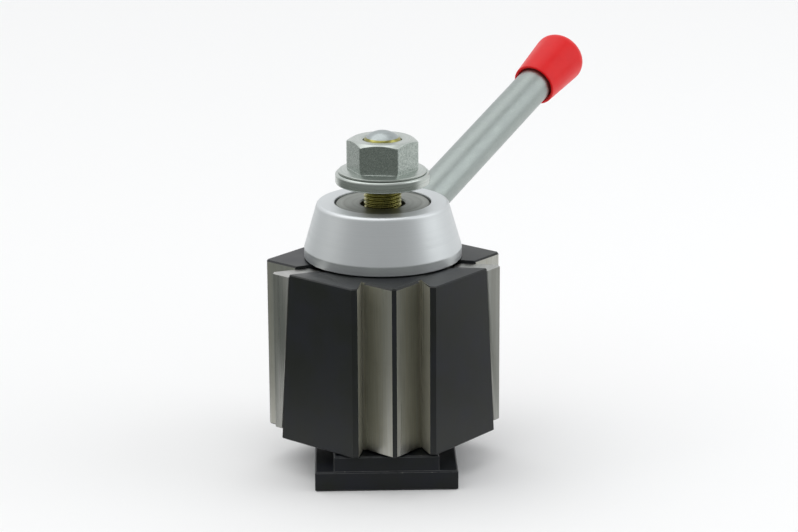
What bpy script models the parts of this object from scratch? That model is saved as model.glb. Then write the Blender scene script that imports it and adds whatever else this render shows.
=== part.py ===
"""Quick change tool post of the wedge type, modelled the way it comes apart on a bench.

A square block carries two dovetails on neighbouring faces.  One flank of each dovetail is a
sliding gib, a long wedge in an inclined slot.  Turning the hub by its handle screws it up or
down on the fixed centre column; a ring under the hub does not turn, and its rim lifts or
lowers both gibs.  A stud from the T-nut runs up through the column, and a flanged nut with
a captive washer clamps the post down.

Frame: +Z up, the stud's axis is the Z axis, the origin is on the T-nut's underside.  The
dovetail faces look along -Y and +X, and their shared corner points at +X, -Y.
"""

import math

import bmesh
import bpy
from mathutils import Matrix

MM = 0.001
INCH = 25.4 * MM
GAP = 0.3 * MM
SLIDE_GAP = 0.25 * MM
PAST = 1.0 * MM  # how far a cutter runs past the face it opens

# T-nut and stud
TNUT_TURN = math.radians(41.0)
TNUT_LENGTH = 82.0 * MM
TNUT_WIDTH = 53.4 * MM
TNUT_FLANGE = 7.6 * MM
TNUT_NECK_WIDTH = 39.2 * MM
TNUT_NECK = 5.9 * MM
TNUT_FLOOR = 2.6 * MM
TNUT_CHAMFER = 0.5 * MM
STUD_R = 9 / 32 * INCH
STUD_TOP = 128.1 * MM
STUD_DOME_R = 9.0 * MM
STUD_DOME_START = math.radians(42.0)
STUD_SHOULDER = 3.6 * MM
STUD_CHAMFER = 1.0 * MM
LOCK_PIN_R = 1.5 * MM
LOCK_PIN_LENGTH = 28.0 * MM
LOCK_PIN_INSET = 1.0 * MM

# block
BLOCK_HALF = 1.25 * INCH
BLOCK_BASE = TNUT_FLANGE + TNUT_NECK + GAP
BLOCK_HEIGHT = 65.5 * MM
BLOCK_TOP = BLOCK_BASE + BLOCK_HEIGHT
CORNER_CHAMFER = 1.3 * MM
EDGE_CHAMFER = 0.6 * MM

# dovetails: half widths from the middle of the face, and the wedge joint behind each gib
DOVETAIL_ANGLE = math.radians(60.0)
DOVETAIL_DEPTH = 9.3 * MM
DOVETAIL_BASE = 16.07 * MM
DOVETAIL_TIP = DOVETAIL_BASE + DOVETAIL_DEPTH / math.tan(DOVETAIL_ANGLE)
TIP_SETBACK = 2.3 * MM
PLATE_ROOT = 3.0 * MM
PLATE_SHORT = 2.0 * MM  # the plate before its slot is cut stops this far short of the gib's flank
PLATE_LIP = 0.4 * MM
PLATE_SKIN = 0.02 * MM
RELIEF_WIDTH = 1.4 * MM
RELIEF_DEPTH = 0.5 * MM
RELIEF_HEIGHT = 0.8 * MM
RELIEF_UNDERCUT = 0.17 * MM
WEDGE_SLOPE = 0.0761
WEDGE_FRONT = -16.3 * MM
PLATE_ROUND = 2.2 * MM
GIB_FOOT = 4.0 * MM
GIB_DROP = 1.1 * MM
GIB_REACH = 16.0 * MM
RIB_START = 12.3 * MM
RIB_END = 15.2 * MM
RIB_HEIGHT = 2.0 * MM
HOOK_START = 14.5 * MM
HOOK_REACH = 22.5 * MM
HOOK_END_R = 24.4 * MM
HOOK_INSET = 0.1 * MM
NOTCH_CLEAR = 0.7 * MM
SLOT_REACH = 16.3 * MM
SLOT_MOUTH = 6.0 * MM
POCKET_START = 15.0 * MM
POCKET_REACH = 25.0 * MM
POCKET_WIDER = 0.3 * MM

# levels under the block's top, for the hooks, the ring and the recess
HOOK_TOP = BLOCK_TOP - 3.0 * MM
RING_TOP = BLOCK_TOP - 5.5 * MM
RING_BASE = RING_TOP - 3.0 * MM
HOOK_BASE = BLOCK_TOP - 12.2 * MM
RECESS_FLOOR = BLOCK_TOP - 13.0 * MM
FLANGE_BASE = RECESS_FLOOR - 4.0 * MM

# recess, column and what holds it
RECESS_R = 28.0 * MM
COLUMN_R = 17.9 * MM
COLUMN_TOP = BLOCK_TOP + 20.9 * MM
COLUMN_BORE_R = 8.6 * MM
COLUMN_CHAMFER = 0.5 * MM
FLANGE_R = 22.8 * MM
SPIGOT_R = 12.0 * MM
SPIGOT_BASE = BLOCK_BASE + 6.0 * MM
SCREW_CIRCLE = 20.35 * MM
SCREW_R = 1.25 * MM
SCREW_HEAD_R = 2.1 * MM
SCREW_HEAD_RIM = 0.3 * MM
SCREW_LENGTH = 12.0 * MM
DOWEL_R = 1.25 * MM
DOWEL_LENGTH = 11.0 * MM

# lift ring, its pins and its retaining ring
RING_R = 27.3 * MM
RING_BORE_R = 21.3 * MM
PIN_CIRCLE = 24.7 * MM
PIN_R = 1.2 * MM
GUIDE_PIN_TOP = BLOCK_TOP - 1.5 * MM
GUIDE_PIN_BASE = RECESS_FLOOR - 6.0 * MM
GUIDE_ANGLES = (math.radians(225.0), math.radians(45.0))
STOP_ANGLE = math.radians(80.0)
HUB_TURN = math.radians(120.0)
STOP_PIN_SEAT = 6.0 * MM
SNAP_THICK = 1.1 * MM
SNAP_R = 23.1 * MM
SNAP_GROOVE = 0.8 * MM
SNAP_SPLIT = math.radians(8.0)

# hub
HUB_BASE = BLOCK_TOP + 0.4 * MM
HUB_TOP = BLOCK_TOP + 21.4 * MM
HUB_BAND = 3.7 * MM
HUB_R = 29.8 * MM
HUB_TOP_R = 25.2 * MM
HUB_BORE_R = COLUMN_R + 0.34 * MM
HUB_NECK_R = 21.0 * MM
HUB_SHOULDER_R = 22.0 * MM
HUB_FILLET = 1.6 * MM
HUB_NECK_BASE = BLOCK_TOP - 10.8 * MM
HUB_CHAMFER = 0.4 * MM
SEAL_LEVEL = HUB_TOP - 3.6 * MM
SEAL_R = 0.8 * MM
SEAL_CENTRE = HUB_BORE_R + 0.65 * MM
SEAL_GROOVE = 1.8 * MM

# handle: a rod screwed into the hub, rising away from it, with a push-on grip
HANDLE_TURN = math.radians(97.1)
HANDLE_RISE = math.radians(19.6)
HANDLE_LEVEL = BLOCK_BASE + 68.7 * MM
ROD_R = 7.2 * MM
ROD_START = 27.5 * MM
ROD_STUB_R = 5.0 * MM
ROD_STUB_START = 21.6 * MM
ROD_CHAMFER = 0.8 * MM
SOCKET_LENGTH = 12.0 * MM
GRIP_START = 121.5 * MM
GRIP_LENGTH = 27.0 * MM
GRIP_MOUTH_R = 8.9 * MM
GRIP_END_R = 10.7 * MM
GRIP_ROUND = 5.0 * MM
GRIP_MOUTH_RIM = 0.4 * MM
GRIP_MOUTH_FUNNEL = 1.2 * MM
GRIP_END_WALL = 5.0 * MM
ROD_END = GRIP_START + GRIP_LENGTH - GRIP_END_WALL

# clamp nut and captive washer
WASHER_BASE = BLOCK_BASE + 94.3 * MM
WASHER_THICK = 4.1 * MM
WASHER_R = 17.8 * MM
WASHER_BORE_R = 10.6 * MM
WASHER_CHAMFER = 0.5 * MM
CLIP_RECESS = 1.4 * MM
NUT_BASE = WASHER_BASE + WASHER_THICK + GAP
NUT_TOP = BLOCK_BASE + 111.3 * MM
NUT_FLATS = 15 / 16 * INCH
NUT_TURN = math.radians(-56.9)
NUT_FLANGE_R = 16.6 * MM
NUT_FLANGE_RIM = 0.5 * MM
NUT_CONE_R = 13.4 * MM
NUT_CONE_RISE = 1.1 * MM
NUT_CROWN_R = NUT_FLATS / 2.0 - 0.6 * MM
NUT_CROWN_DROP = 1.755 * MM
NUT_BORE_CHAMFER = 0.6 * MM
NUT_SPIGOT_R = 10.2 * MM
NUT_SPIGOT_INSET = 0.2 * MM
CLIP_SEAT = 2.6 * MM
CLIP_R = 0.6 * MM
CLIP_CENTRE = 10.65 * MM

ROUND_FINE = 48
ROUND = 36
ROUND_SMALL = 12


# ---------------------------------------------------------------- building helpers

def clear_scene():
    """Remove whatever is in the scene."""
    for old in list(bpy.data.objects):
        bpy.data.objects.remove(old, do_unlink=True)


def finish_material(name, colour, roughness, metallic):
    """A Principled material of one colour."""
    material = bpy.data.materials.new(name)
    material.use_nodes = True
    shader = material.node_tree.nodes["Principled BSDF"]
    shader.inputs["Base Color"].default_value = (*colour, 1.0)
    shader.inputs["Roughness"].default_value = roughness
    shader.inputs["Metallic"].default_value = metallic
    return material


def add_object(name, bm, parent=None, material=None):
    """Turn a bmesh into a named object with outward faces and smooth round sides."""
    bmesh.ops.recalc_face_normals(bm, faces=bm.faces)
    mesh = bpy.data.meshes.new(name)
    bm.to_mesh(mesh)
    bm.free()
    mesh.shade_smooth()
    mesh.set_sharp_from_angle(angle=math.radians(30.0))
    piece = bpy.data.objects.new(name, mesh)
    bpy.context.scene.collection.objects.link(piece)
    if parent is not None:
        piece.parent = parent
    if material is not None:
        mesh.materials.append(material)
    return piece


def joint_frame(name):
    """An empty on the stud's axis that carries the pieces of one moving body."""
    frame = bpy.data.objects.new(name, None)
    bpy.context.scene.collection.objects.link(frame)
    return frame


def lofted(sections):
    """Closed solid through plan outlines: each section is (points, level), same point count."""
    bm = bmesh.new()
    rings = [[bm.verts.new((x, y, z)) for x, y in points] for points, z in sections]
    count = len(rings[0])
    for lower, upper in zip(rings, rings[1:]):
        for i in range(count):
            j = (i + 1) % count
            bm.faces.new((lower[i], lower[j], upper[j], upper[i]))
    bm.faces.new(rings[0])
    bm.faces.new(rings[-1])
    return bm


def turned(outline, segments):
    """Solid of revolution about Z of a closed outline of (radius, height) points."""
    bm = bmesh.new()
    rings = []
    for radius, height in outline:
        if radius < 1e-9:
            rings.append([bm.verts.new((0.0, 0.0, height))])
            continue
        angles = (2.0 * math.pi * i / segments for i in range(segments))
        rings.append([bm.verts.new((radius * math.cos(a), radius * math.sin(a), height)) for a in angles])
    for lower, upper in zip(rings, rings[1:] + rings[:1]):
        if len(lower) == 1 and len(upper) == 1:
            continue
        for i in range(segments):
            j = (i + 1) % segments
            near = [lower[i % len(lower)], lower[j % len(lower)]]
            far = [upper[j % len(upper)], upper[i % len(upper)]]
            bm.faces.new(list(dict.fromkeys(near + far)))
    return bm


def merged(parts):
    """One bmesh that holds the given ones as separate bodies."""
    result = bmesh.new()
    for part in parts:
        mesh = bpy.data.meshes.new("part")
        part.to_mesh(mesh)
        part.free()
        result.from_mesh(mesh)
        bpy.data.meshes.remove(mesh)
    return result


def moved(bm, matrix):
    """The same bmesh placed by a matrix."""
    bmesh.ops.transform(bm, matrix=matrix, verts=bm.verts)
    return bm


def arc(centre, radius, start, end, steps):
    """Points on an arc of a circle, both ends included."""
    points = []
    for i in range(steps + 1):
        angle = start + (end - start) * i / steps
        points.append((centre[0] + radius * math.cos(angle), centre[1] + radius * math.sin(angle)))
    return points


def boolean(target, operation, bm):
    """Join or cut a solid with a hidden guide object, as a live modifier."""
    guide = add_object(f"{target.name}_guide", bm, target.parent)
    guide.hide_render = True
    guide.display_type = "WIRE"
    step = target.modifiers.new(operation.lower(), "BOOLEAN")
    step.operation = operation
    step.solver = "EXACT"
    step.object = guide


def cylinder(radius, base, top, segments=ROUND_SMALL):
    """Plain round bar about Z between two levels."""
    return turned([(0.0, base), (radius, base), (radius, top), (0.0, top)], segments)


def tube(inner, outer, base, top, segments=ROUND):
    """Plain ring about Z between two levels."""
    return turned([(inner, base), (outer, base), (outer, top), (inner, top)], segments)


def around(radius, angle):
    """Translation to a point on a circle about Z."""
    return Matrix.Translation((radius * math.cos(angle), radius * math.sin(angle), 0.0))


def rectangle(length, width, inset=0.0):
    """Corners of a rectangle about the origin, length along X."""
    x = length / 2.0 - inset
    y = width / 2.0 - inset
    return [(-x, -y), (x, -y), (x, y), (-x, y)]


# ---------------------------------------------------------------- T-nut and stud

def make_tnut(parent, material):
    """Flanged bar for a T-slot, with a blind hole for the stud and one for its lock pin."""
    edge = TNUT_CHAMFER
    flange = lofted([
        (rectangle(TNUT_LENGTH, TNUT_WIDTH, edge), 0.0),
        (rectangle(TNUT_LENGTH, TNUT_WIDTH), edge),
        (rectangle(TNUT_LENGTH, TNUT_WIDTH), TNUT_FLANGE - edge),
        (rectangle(TNUT_LENGTH, TNUT_WIDTH, edge), TNUT_FLANGE),
    ])
    top = TNUT_FLANGE + TNUT_NECK
    neck = lofted([
        (rectangle(TNUT_LENGTH - 2.0 * edge, TNUT_NECK_WIDTH), TNUT_FLANGE - PAST),
        (rectangle(TNUT_LENGTH - 2.0 * edge, TNUT_NECK_WIDTH), top - edge),
        (rectangle(TNUT_LENGTH - 2.0 * edge, TNUT_NECK_WIDTH, edge), top),
    ])
    turn = Matrix.Rotation(TNUT_TURN - math.pi / 2.0, 4, "Z")
    piece = add_object("tnut", moved(flange, turn), parent, material)
    boolean(piece, "UNION", moved(neck, turn))
    boolean(piece, "DIFFERENCE", cylinder(STUD_R + GAP, TNUT_FLOOR, top + PAST, ROUND))
    boolean(piece, "DIFFERENCE", lock_pin_hole(turn))
    return piece


def lock_pin_bar(radius, inner_end, outer_end, turn):
    """Bar across the T-nut's neck, halfway up, between two distances from the stud's axis."""
    bar = cylinder(radius, inner_end, outer_end)
    level = TNUT_FLANGE + TNUT_NECK / 2.0
    lay = Matrix.Translation((0.0, 0.0, level)) @ Matrix.Rotation(-math.pi / 2.0, 4, "X")
    return moved(bar, turn @ lay)


def lock_pin_hole(turn):
    """Hole for the lock pin, from the neck's side to past the stud."""
    side = TNUT_NECK_WIDTH / 2.0
    inner_end = side - LOCK_PIN_INSET - LOCK_PIN_LENGTH - 2.0 * GAP
    return lock_pin_bar(LOCK_PIN_R + GAP, inner_end, side + PAST, turn)


def make_stud(parent, material):
    """Stud of nine sixteenths of an inch, with a domed free end and a hole for its lock pin."""
    base = TNUT_FLOOR + GAP
    dome = arc((0.0, STUD_TOP - STUD_DOME_R), STUD_DOME_R, STUD_DOME_START, math.pi / 2.0, 5)
    outline = [(0.0, base), (STUD_R - STUD_CHAMFER, base), (STUD_R, base + STUD_CHAMFER)]
    outline += [(STUD_R, STUD_TOP - STUD_SHOULDER)] + dome[:-1] + [(0.0, STUD_TOP)]
    piece = add_object("stud", turned(outline, ROUND), parent, material)
    boolean(piece, "DIFFERENCE", lock_pin_hole(Matrix.Rotation(TNUT_TURN - math.pi / 2.0, 4, "Z")))
    return piece


def make_stud_lock_pin(parent, material):
    """Pin through the T-nut's neck and the stud, so that the stud can't unscrew."""
    turn = Matrix.Rotation(TNUT_TURN - math.pi / 2.0, 4, "Z")
    outer_end = TNUT_NECK_WIDTH / 2.0 - LOCK_PIN_INSET
    bar = lock_pin_bar(LOCK_PIN_R, outer_end - LOCK_PIN_LENGTH, outer_end, turn)
    return add_object("stud_lock_pin", bar, parent, material)


# ---------------------------------------------------------------- block with its dovetails

def on_left_face(points):
    """Plan points (across, outwards) of the -Y face in the object's X and Y."""
    return [(across, -BLOCK_HALF - outwards) for across, outwards in points]


def on_right_face(points):
    """The same points on the +X face, as the left face's mirror image in the shared corner."""
    return [(BLOCK_HALF + outwards, -across) for across, outwards in points]


def along_slot(front, reach, sideways=0.0):
    """Point of a line at the dovetail's angle: starts at the front plane, runs into the block."""
    lean = DOVETAIL_ANGLE
    across = front + reach * math.cos(lean) + sideways * math.sin(lean)
    outwards = DOVETAIL_DEPTH - reach * math.sin(lean) + sideways * math.cos(lean)
    return (across, outwards)


def wedge_front(level):
    """Where the wedge joint meets the dovetail's front plane at a level."""
    return WEDGE_FRONT + WEDGE_SLOPE * (level - BLOCK_BASE)


def dovetail_tip(sign):
    """The chamfer between a flank and the front plane: flank end, then front edge."""
    flank_end = DOVETAIL_TIP - TIP_SETBACK * math.cos(DOVETAIL_ANGLE)
    flank_out = DOVETAIL_DEPTH - TIP_SETBACK * math.sin(DOVETAIL_ANGLE)
    return [(sign * flank_end, flank_out), (sign * (DOVETAIL_TIP - TIP_SETBACK), DOVETAIL_DEPTH)]


def plate_outline(inset):
    """Fixed part of a dovetail, wider than it ends up on the gib's side, where the slot cuts it."""
    flank_end, front_edge = dovetail_tip(1.0)
    return [
        (DOVETAIL_BASE, -PLATE_ROOT),
        (DOVETAIL_BASE, 0.0),
        (flank_end[0] - inset, flank_end[1] - inset),
        (front_edge[0] - inset, front_edge[1] - inset),
        (PLATE_SHORT - front_edge[0], DOVETAIL_DEPTH - inset),
        (PLATE_SHORT - DOVETAIL_BASE, -PLATE_ROOT),
    ]


def relief_outline():
    """Grinding relief in the corner between the fixed flank and the seat beside it."""
    lean = 1.0 / math.tan(DOVETAIL_ANGLE)
    inner = DOVETAIL_BASE - RELIEF_UNDERCUT
    return [
        (inner - RELIEF_DEPTH * lean, -RELIEF_DEPTH),
        (DOVETAIL_BASE + RELIEF_WIDTH, -RELIEF_DEPTH),
        (DOVETAIL_BASE + RELIEF_WIDTH, RELIEF_HEIGHT),
        (inner + RELIEF_HEIGHT * lean, RELIEF_HEIGHT),
    ]


def slot_outline(level):
    """Space for a gib at a level: its slot, the rib's groove and the plate's rounded corner."""
    joint = wedge_front(level)
    flank = -DOVETAIL_TIP - GAP / math.sin(DOVETAIL_ANGLE)
    side = SLIDE_GAP
    tangent = PLATE_ROUND / math.tan(DOVETAIL_ANGLE)
    start = along_slot(joint, tangent)
    centre = along_slot(joint, tangent, PLATE_ROUND)
    rounded = arc(centre, PLATE_ROUND, math.radians(210.0), math.radians(92.0), 6)
    return [
        along_slot(flank, -SLOT_MOUTH),
        along_slot(flank, SLOT_REACH),
        along_slot(joint, SLOT_REACH),
        along_slot(joint, RIB_END + side),
        along_slot(joint, RIB_END + side, RIB_HEIGHT + side),
        along_slot(joint, RIB_START - side, RIB_HEIGHT + side),
        along_slot(joint, RIB_START - side),
        start,
    ] + rounded[1:] + [(rounded[-1][0], DOVETAIL_DEPTH + SLOT_MOUTH)]


def pocket_outline(level):
    """Wider mouth of a slot near the block's top, open into the round recess."""
    joint = wedge_front(level) + POCKET_WIDER
    flank = -DOVETAIL_TIP - GAP / math.sin(DOVETAIL_ANGLE) - POCKET_WIDER
    return [
        along_slot(flank, POCKET_START),
        along_slot(flank, POCKET_REACH),
        along_slot(joint, POCKET_REACH),
        along_slot(joint, POCKET_START),
    ]


def block_outline(inset):
    """Square with chamfered corners."""
    h = BLOCK_HALF - inset
    c = BLOCK_HALF - CORNER_CHAMFER
    return [(-c, -h), (c, -h), (h, -c), (h, c), (c, h), (-c, h), (-h, c), (-h, -c)]


def make_post_block(parent, material):
    """Square block with two dovetails, the gibs' slots, the hub's recess and the column's seat."""
    edge = EDGE_CHAMFER
    body = lofted([
        (block_outline(edge), BLOCK_BASE),
        (block_outline(0.0), BLOCK_BASE + edge),
        (block_outline(0.0), BLOCK_TOP - edge),
        (block_outline(edge), BLOCK_TOP),
    ])
    piece = add_object("post_block", body, parent, material)
    above = BLOCK_TOP + PAST
    below = BLOCK_BASE - PAST
    for place in (on_left_face, on_right_face):
        plate = lofted([
            (place(plate_outline(PLATE_LIP)), BLOCK_BASE + PLATE_SKIN),
            (place(plate_outline(0.0)), BLOCK_BASE + PLATE_LIP),
            (place(plate_outline(0.0)), BLOCK_TOP - PLATE_LIP),
            (place(plate_outline(PLATE_LIP)), BLOCK_TOP - PLATE_SKIN),
        ])
        boolean(piece, "UNION", plate)
    for place in (on_left_face, on_right_face):
        slot = lofted([(place(slot_outline(z)), z) for z in (below, above)])
        pocket = lofted([(place(pocket_outline(z)), z) for z in (RECESS_FLOOR, above)])
        relief = lofted([(place(relief_outline()), z) for z in (below, above)])
        boolean(piece, "DIFFERENCE", slot)
        boolean(piece, "DIFFERENCE", pocket)
        boolean(piece, "DIFFERENCE", relief)
    seat = turned([
        (0.0, below),
        (SPIGOT_R + GAP, below),
        (SPIGOT_R + GAP, FLANGE_BASE - GAP),
        (FLANGE_R + GAP, FLANGE_BASE - GAP),
        (FLANGE_R + GAP, RECESS_FLOOR - GAP),
        (RECESS_R, RECESS_FLOOR - GAP),
        (RECESS_R, above),
        (0.0, above),
    ], ROUND_FINE)
    boolean(piece, "DIFFERENCE", seat)
    holes = []
    for angle in GUIDE_ANGLES:
        hole = cylinder(PIN_R + GAP, GUIDE_PIN_BASE - GAP, RECESS_FLOOR + GAP)
        holes.append(moved(hole, around(PIN_CIRCLE, angle)))
    for angle in screw_angles():
        hole = cylinder(SCREW_R + GAP, RECESS_FLOOR - SCREW_LENGTH - 2.0 * GAP, FLANGE_BASE + GAP)
        holes.append(moved(hole, around(SCREW_CIRCLE, angle)))
    for angle in dowel_angles():
        hole = cylinder(DOWEL_R + GAP, RECESS_FLOOR - DOWEL_LENGTH - 2.0 * GAP, FLANGE_BASE + GAP)
        holes.append(moved(hole, around(SCREW_CIRCLE, angle)))
    boolean(piece, "DIFFERENCE", merged(holes))
    return piece


# ---------------------------------------------------------------- column and its fasteners

def screw_angles():
    """Four screws, a quarter turn apart."""
    return [math.radians(90.0 * i) for i in range(4)]


def dowel_angles():
    """Two dowels, opposite each other between the screws."""
    return [math.radians(45.0), math.radians(225.0)]


def make_column(parent, material):
    """Centre column: a stem with the hub's thread, a flange let into the block and a spigot below."""
    edge = COLUMN_CHAMFER
    outline = [
        (COLUMN_BORE_R, SPIGOT_BASE),
        (SPIGOT_R - edge, SPIGOT_BASE),
        (SPIGOT_R, SPIGOT_BASE + edge),
        (SPIGOT_R, FLANGE_BASE),
        (FLANGE_R, FLANGE_BASE),
        (FLANGE_R, RECESS_FLOOR - GAP),
        (COLUMN_R, RECESS_FLOOR - GAP),
        (COLUMN_R, COLUMN_TOP - edge),
        (COLUMN_R - edge, COLUMN_TOP),
        (COLUMN_BORE_R + edge, COLUMN_TOP),
        (COLUMN_BORE_R, COLUMN_TOP - edge),
    ]
    piece = add_object("column", turned(outline, ROUND_FINE), parent, material)
    holes = []
    for angle in screw_angles():
        countersink = turned(screw_outline(GAP, PAST), ROUND_SMALL)
        holes.append(moved(countersink, around(SCREW_CIRCLE, angle)))
    for angle in dowel_angles():
        through = cylinder(DOWEL_R + GAP, FLANGE_BASE - PAST, RECESS_FLOOR + PAST)
        holes.append(moved(through, around(SCREW_CIRCLE, angle)))
    boolean(piece, "DIFFERENCE", merged(holes))
    return piece


def screw_outline(wider, higher):
    """Countersunk screw as a turned outline; wider and higher make the hole it goes in."""
    head_top = RECESS_FLOOR - 2.0 * GAP
    rim = head_top - SCREW_HEAD_RIM
    neck = rim - (SCREW_HEAD_R - SCREW_R)
    base = RECESS_FLOOR - SCREW_LENGTH
    return [
        (0.0, base),
        (SCREW_R + wider, base),
        (SCREW_R + wider, neck),
        (SCREW_HEAD_R + wider, rim),
        (SCREW_HEAD_R + wider, head_top + higher),
        (0.0, head_top + higher),
    ]


def make_column_screws(parent, material):
    """Four countersunk screws that hold the column's flange down."""
    for number, angle in enumerate(screw_angles(), 1):
        screw = turned(screw_outline(0.0, 0.0), ROUND_SMALL)
        add_object(f"column_screw_{number}", moved(screw, around(SCREW_CIRCLE, angle)), parent, material)


def make_column_dowels(parent, material):
    """Two dowels that keep the column from turning with the hub."""
    for number, angle in enumerate(dowel_angles(), 1):
        pin = cylinder(DOWEL_R, RECESS_FLOOR - DOWEL_LENGTH, RECESS_FLOOR - 2.0 * GAP)
        add_object(f"column_dowel_{number}", moved(pin, around(SCREW_CIRCLE, angle)), parent, material)


def make_ring_guide_pins(parent, material):
    """Two upright pins in the recess that keep the lift ring from turning."""
    for number, angle in enumerate(GUIDE_ANGLES, 1):
        pin = cylinder(PIN_R, GUIDE_PIN_BASE, GUIDE_PIN_TOP)
        add_object(f"ring_guide_pin_{number}", moved(pin, around(PIN_CIRCLE, angle)), parent, material)


# ---------------------------------------------------------------- gibs and lift ring

def gib_outline(level):
    """Plan of a gib's full-height slide at a level, with its flank's chamfer and its rib."""
    joint = wedge_front(level) - SLIDE_GAP / math.sin(DOVETAIL_ANGLE)
    flank_end, front_edge = dovetail_tip(-1.0)
    return [
        front_edge,
        flank_end,
        along_slot(-DOVETAIL_TIP, GIB_REACH),
        along_slot(joint, GIB_REACH),
        along_slot(joint, RIB_END),
        along_slot(joint, RIB_END, RIB_HEIGHT),
        along_slot(joint, RIB_START, RIB_HEIGHT),
        along_slot(joint, RIB_START),
        along_slot(joint, 0.0),
    ]


def hook_outline(level):
    """Plan of a gib's hook, which reaches from the slide over the recess."""
    joint = wedge_front(level) - SLIDE_GAP / math.sin(DOVETAIL_ANGLE) - HOOK_INSET
    return [
        along_slot(-DOVETAIL_TIP + HOOK_INSET, HOOK_START),
        along_slot(-DOVETAIL_TIP + HOOK_INSET, HOOK_REACH),
        along_slot(joint, HOOK_REACH),
        along_slot(joint, HOOK_START),
    ]


def make_gib(name, place, parent, material):
    """Sliding wedge of a dovetail, with a hook whose notch takes the lift ring's rim."""
    levels = (BLOCK_BASE + GIB_FOOT, BLOCK_TOP - GIB_DROP)
    slide = lofted([(place(gib_outline(z)), z) for z in levels])
    hook = lofted([(place(hook_outline(z)), z) for z in (HOOK_BASE, HOOK_TOP)])
    piece = add_object(name, slide, parent, material)
    boolean(piece, "UNION", hook)
    notch = turned([
        (0.0, HOOK_BASE - PAST),
        (HOOK_END_R, HOOK_BASE - PAST),
        (HOOK_END_R, RING_BASE - GAP),
        (RING_R + NOTCH_CLEAR, RING_BASE - GAP),
        (RING_R + NOTCH_CLEAR, RING_TOP + GAP),
        (HOOK_END_R, RING_TOP + GAP),
        (HOOK_END_R, HOOK_TOP + PAST),
        (0.0, HOOK_TOP + PAST),
    ], ROUND_FINE)
    boolean(piece, "DIFFERENCE", notch)
    return piece


def arc_slot(radius, half_width, start, end, base, top):
    """Bent bar with square ends along an arc, for a slot in the lift ring."""
    outer = arc((0.0, 0.0), radius + half_width, start, end, 16)
    inner = arc((0.0, 0.0), radius - half_width, end, start, 16)
    return lofted([(outer + inner, base), (outer + inner, top)])


def make_lift_ring(parent, material):
    """Ring that rides under the hub and doesn't turn; its rim carries both gibs."""
    ring = tube(RING_BORE_R, RING_R, RING_BASE, RING_TOP, ROUND_FINE)
    piece = add_object("lift_ring", ring, parent, material)
    reach = math.asin((PIN_R + 2.0 * GAP) / PIN_CIRCLE)
    base = RING_BASE - PAST
    top = RING_TOP + PAST
    slot = arc_slot(PIN_CIRCLE, PIN_R + GAP, STOP_ANGLE - reach, STOP_ANGLE + HUB_TURN + reach, base, top)
    holes = [moved(cylinder(PIN_R + GAP, base, top), around(PIN_CIRCLE, a)) for a in GUIDE_ANGLES]
    boolean(piece, "DIFFERENCE", merged([slot] + holes))
    return piece


# ---------------------------------------------------------------- hub and handle

def handle_matrix():
    """Puts a bar built along Z onto the handle's axis, which crosses the stud's axis."""
    lean = Matrix.Rotation(math.pi / 2.0 - HANDLE_RISE, 4, "Y")
    return Matrix.Translation((0.0, 0.0, HANDLE_LEVEL)) @ Matrix.Rotation(HANDLE_TURN, 4, "Z") @ lean


def hub_outline():
    """Outline of the hub: threaded bore, neck for the lift ring, low band, cone and rounded rim."""
    edge = HUB_CHAMFER
    snap_top = RING_BASE - GAP
    snap_base = snap_top - SNAP_THICK
    shoulder = RING_TOP + GAP
    cone_base = HUB_BASE + HUB_BAND
    slope = math.atan2(HUB_R - HUB_TOP_R, HUB_TOP - cone_base)
    rim = arc((HUB_TOP_R - HUB_FILLET, HUB_TOP - HUB_FILLET), HUB_FILLET, slope, math.pi / 2.0, 5)
    groove = SEAL_R + GAP
    return [
        (HUB_BORE_R, HUB_NECK_BASE),
        (HUB_NECK_R, HUB_NECK_BASE),
        (HUB_NECK_R, snap_base - GAP),
        (HUB_NECK_R - SNAP_GROOVE, snap_base - GAP),
        (HUB_NECK_R - SNAP_GROOVE, snap_top + GAP),
        (HUB_NECK_R, snap_top + GAP),
        (HUB_NECK_R, shoulder),
        (HUB_SHOULDER_R, shoulder),
        (HUB_SHOULDER_R, HUB_BASE),
        (HUB_R - edge, HUB_BASE),
        (HUB_R, HUB_BASE + edge),
        (HUB_R, cone_base),
    ] + rim + [
        (HUB_BORE_R + edge, HUB_TOP),
        (HUB_BORE_R, HUB_TOP - edge),
        (HUB_BORE_R, SEAL_LEVEL + groove),
        (HUB_BORE_R + SEAL_GROOVE, SEAL_LEVEL + groove),
        (HUB_BORE_R + SEAL_GROOVE, SEAL_LEVEL - groove),
        (HUB_BORE_R, SEAL_LEVEL - groove),
    ]


def make_hub(parent, material):
    """Cone-shaped hub that screws on the column, bored for the handle and for its stop pin."""
    piece = add_object("hub", turned(hub_outline(), ROUND_FINE), parent, material)
    socket = turned([
        (0.0, ROD_STUB_START - GAP),
        (ROD_STUB_R + GAP, ROD_STUB_START - GAP),
        (ROD_STUB_R + GAP, ROD_START - GAP),
        (ROD_R + GAP, ROD_START - GAP),
        (ROD_R + GAP, ROD_START + SOCKET_LENGTH),
        (0.0, ROD_START + SOCKET_LENGTH),
    ], ROUND)
    boolean(piece, "DIFFERENCE", moved(socket, handle_matrix()))
    hole = cylinder(PIN_R + GAP, HUB_BASE - PAST, HUB_BASE + STOP_PIN_SEAT + GAP)
    boolean(piece, "DIFFERENCE", moved(hole, around(PIN_CIRCLE, STOP_ANGLE)))
    return piece


def make_turn_stop_pin(parent, material):
    """Pin under the hub that runs in the lift ring's arc slot and limits the hub's turn."""
    pin = cylinder(PIN_R, RING_BASE + GAP, HUB_BASE + STOP_PIN_SEAT)
    return add_object("turn_stop_pin", moved(pin, around(PIN_CIRCLE, STOP_ANGLE)), parent, material)


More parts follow.
